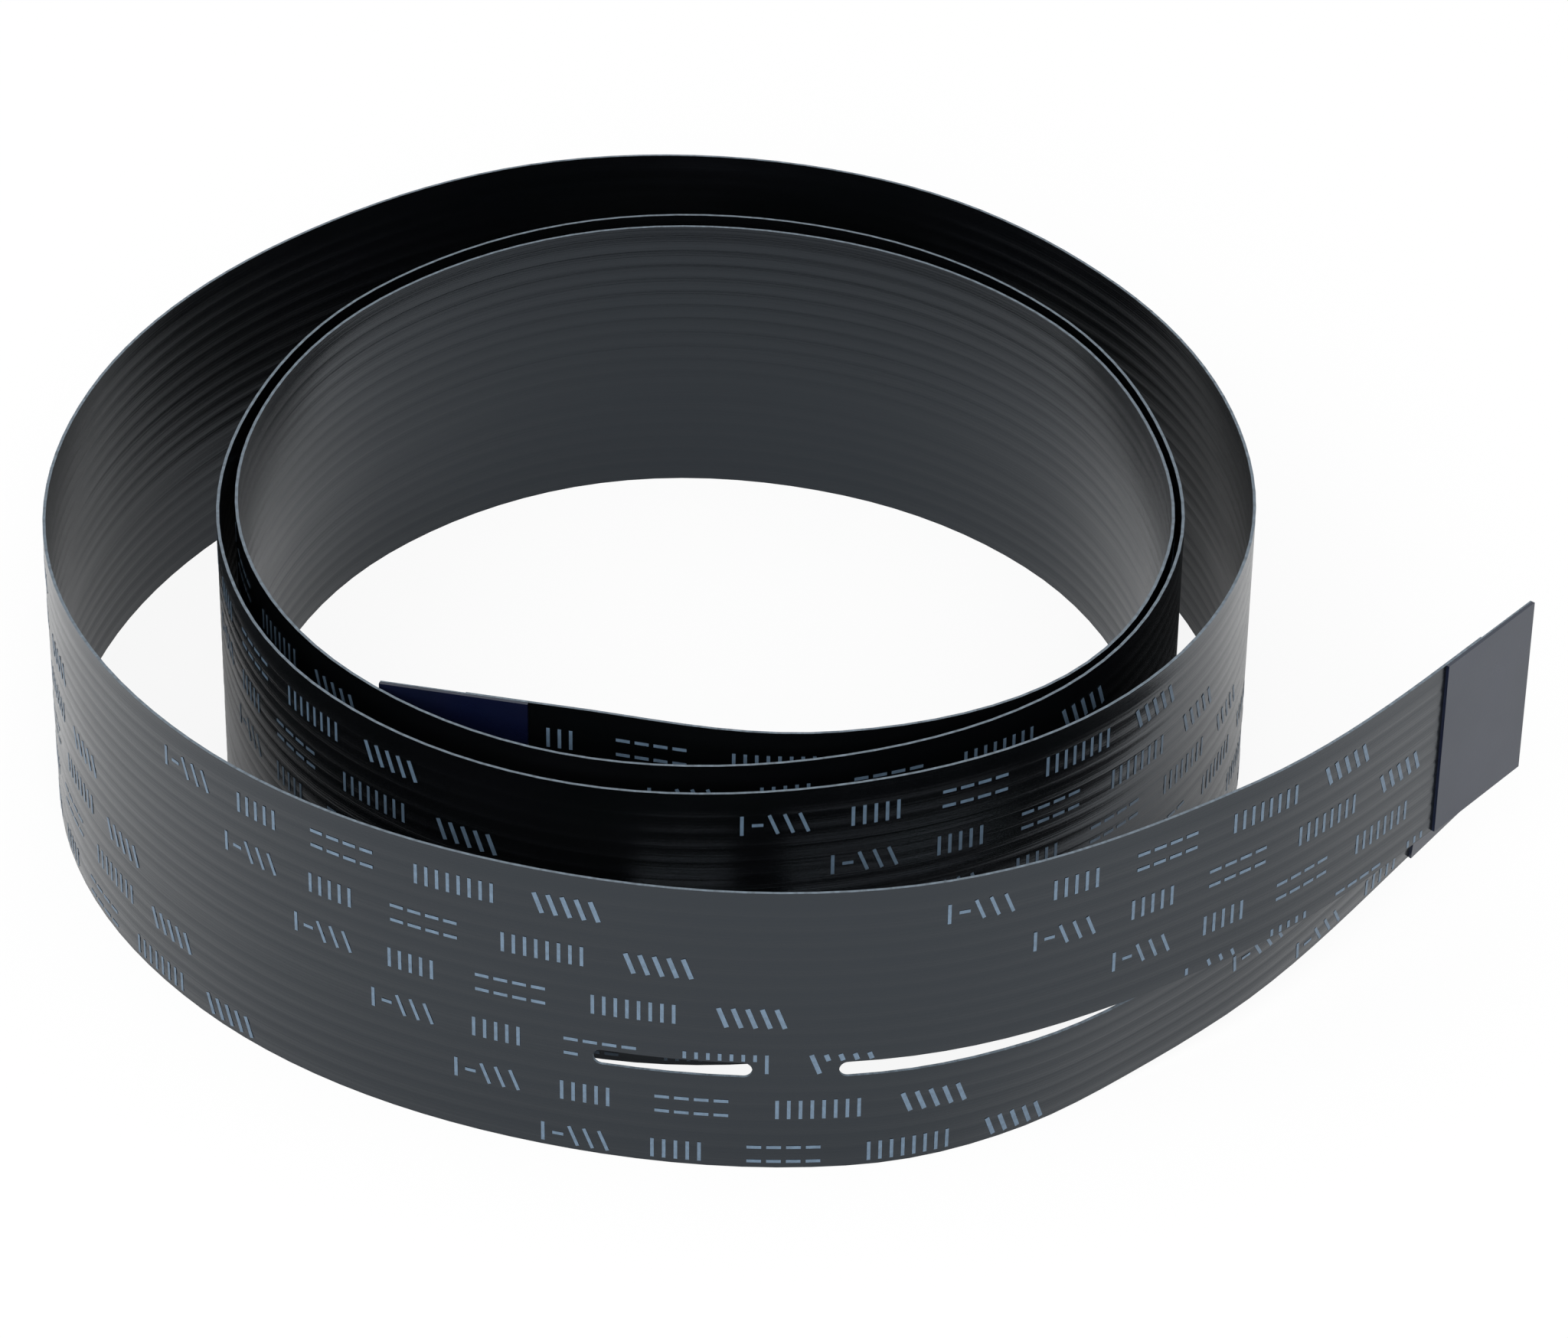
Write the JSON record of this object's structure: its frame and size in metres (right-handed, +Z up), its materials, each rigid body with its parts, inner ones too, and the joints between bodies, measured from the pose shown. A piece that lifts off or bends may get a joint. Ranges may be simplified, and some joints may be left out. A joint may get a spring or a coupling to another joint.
{
  "type": "flat flexible cable",
  "caption": "Black flat flexible cable wound in a loose spiral on its edge, its outer end slit into two tongues, with stiffened contact tabs.",
  "frame": {"origin": "centre of the bounding box at the height of the resting edge", "axes": "+Z up across the ribbon's width, +X from the coil towards the outer end, +Y to the back of the coil"},
  "size_m": [0.0874, 0.0802, 0.019],
  "materials": {
    "laminate": "satin",
    "stiffener": "satin",
    "tin": "satin"
  },
  "bodies": {
    "root": {"ribbon": "laminate", "stiffener_inner": "stiffener", "stiffener_wide": "stiffener", "stiffener_narrow": "stiffener", "contact_inner_01": "tin", "contact_inner_02": "tin", "contact_inner_03": "tin", "contact_inner_04": "tin", "contact_inner_05": "tin", "contact_inner_06": "tin", "contact_inner_07": "tin", "contact_inner_08": "tin", "contact_inner_09": "tin", "contact_inner_10": "tin", "contact_inner_11": "tin", "contact_inner_12": "tin", "contact_inner_13": "tin", "contact_inner_14": "tin", "contact_inner_15": "tin", "contact_inner_16": "tin", "contact_inner_17": "tin", "contact_wide_01": "tin", "contact_wide_02": "tin", "contact_wide_03": "tin", "contact_wide_04": "tin", "contact_wide_05": "tin", "contact_wide_06": "tin", "contact_wide_07": "tin", "contact_wide_08": "tin", "contact_wide_09": "tin", "contact_wide_10": "tin", "contact_wide_11": "tin", "contact_narrow_01": "tin", "contact_narrow_02": "tin", "contact_narrow_03": "tin", "contact_narrow_04": "tin", "contact_narrow_05": "tin", "contact_narrow_06": "tin"}
  },
  "joints": []
}
